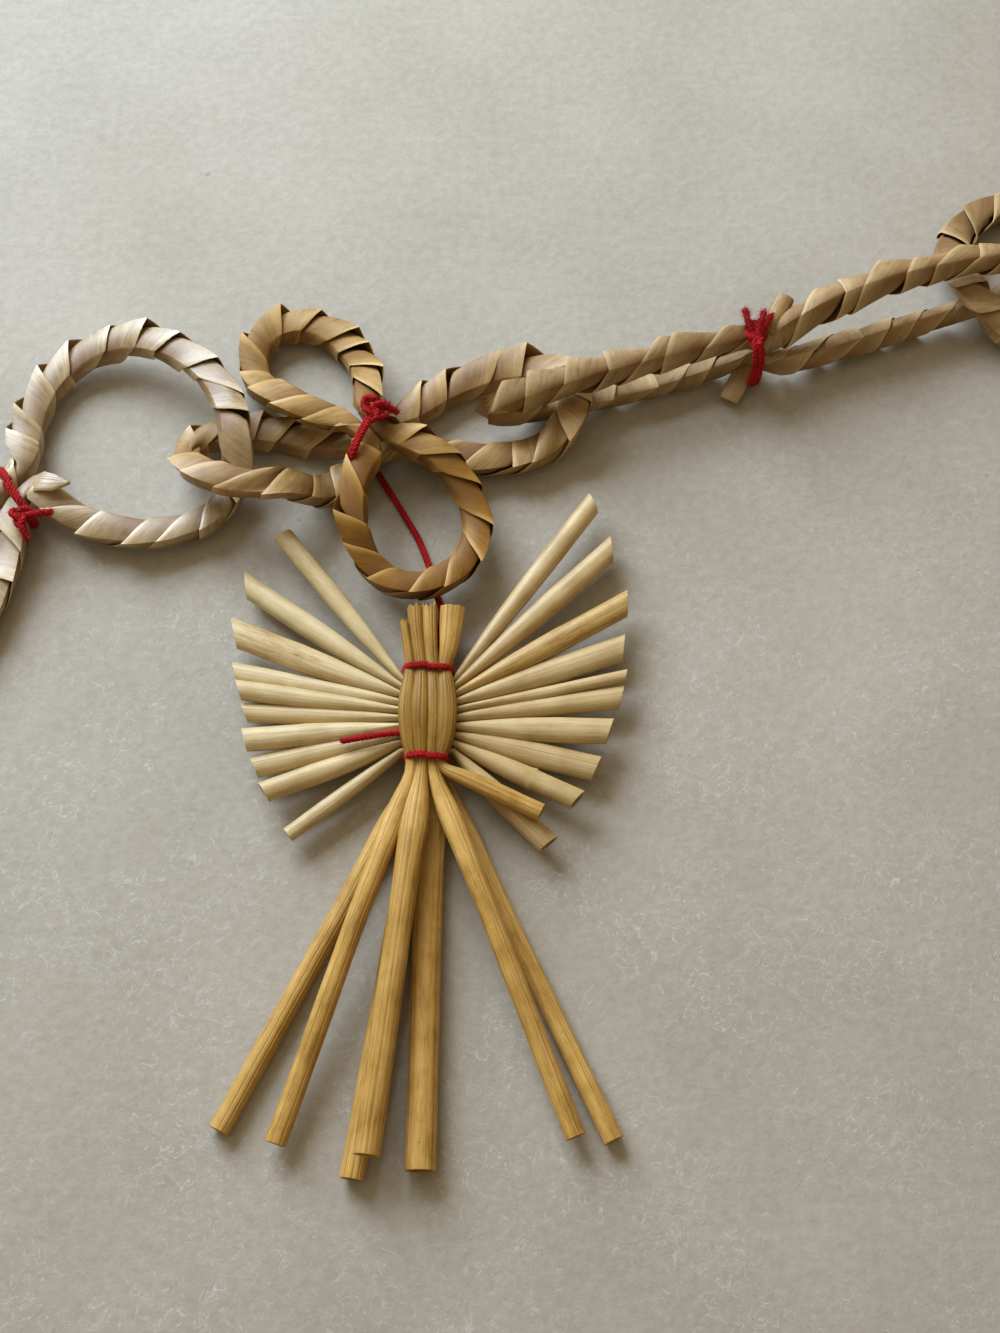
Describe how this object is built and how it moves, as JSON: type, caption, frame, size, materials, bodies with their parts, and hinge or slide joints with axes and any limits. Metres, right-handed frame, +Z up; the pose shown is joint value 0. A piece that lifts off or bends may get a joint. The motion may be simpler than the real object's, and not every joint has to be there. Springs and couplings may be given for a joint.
{
  "type": "straw ornament",
  "caption": "Lying straw figure with fanned wings and splayed tail straws, bound with red thread and tied below a garland of folded straw plait loops.",
  "frame": {"origin": "middle of the outline, on the plane the ornament lies on", "axes": "+Z up off the plane, +Y from the figure's tail straws to its head, +X towards the garland's end ring"},
  "size_m": [0.1752, 0.1408, 0.0124],
  "materials": {
    "wing_straw": "satin natural straw, pale",
    "tail_straw": "satin natural straw, golden brown",
    "plait": "satin flattened straw, tan",
    "plait_gold": "satin flattened straw, golden tan",
    "plait_pale": "satin flattened straw, greyish beige",
    "plait_pink": "matte flattened straw, pinkish beige",
    "red_thread": "fuzzy spun thread, crimson"
  },
  "bodies": {
    "root": {"wing_straw_1": "wing_straw", "wing_straw_2": "wing_straw", "wing_straw_3": "wing_straw", "wing_straw_4": "wing_straw", "wing_straw_5": "wing_straw", "wing_straw_6": "wing_straw", "wing_straw_7": "wing_straw", "wing_straw_8": "wing_straw", "wing_straw_9": "wing_straw", "wing_straw_10": "wing_straw", "tail_straw_front_1": "tail_straw", "tail_straw_front_2": "tail_straw", "tail_straw_front_3": "tail_straw", "tail_straw_front_4": "tail_straw", "tail_straw_back_1": "tail_straw", "tail_straw_back_2": "tail_straw", "tail_straw_back_3": "tail_straw", "tail_straw_back_4": "tail_straw", "left_double_loop": "plait_pale", "rosette_cross_loop": "plait", "rosette_upright_loop": "plait_gold", "right_double_loop": "plait_pink", "end_ring": "plait_pink", "neck_tie": "red_thread", "waist_tie": "red_thread", "rosette_tie": "red_thread", "left_tie": "red_thread", "right_tie": "red_thread", "hanging_thread": "red_thread"}
  },
  "joints": []
}
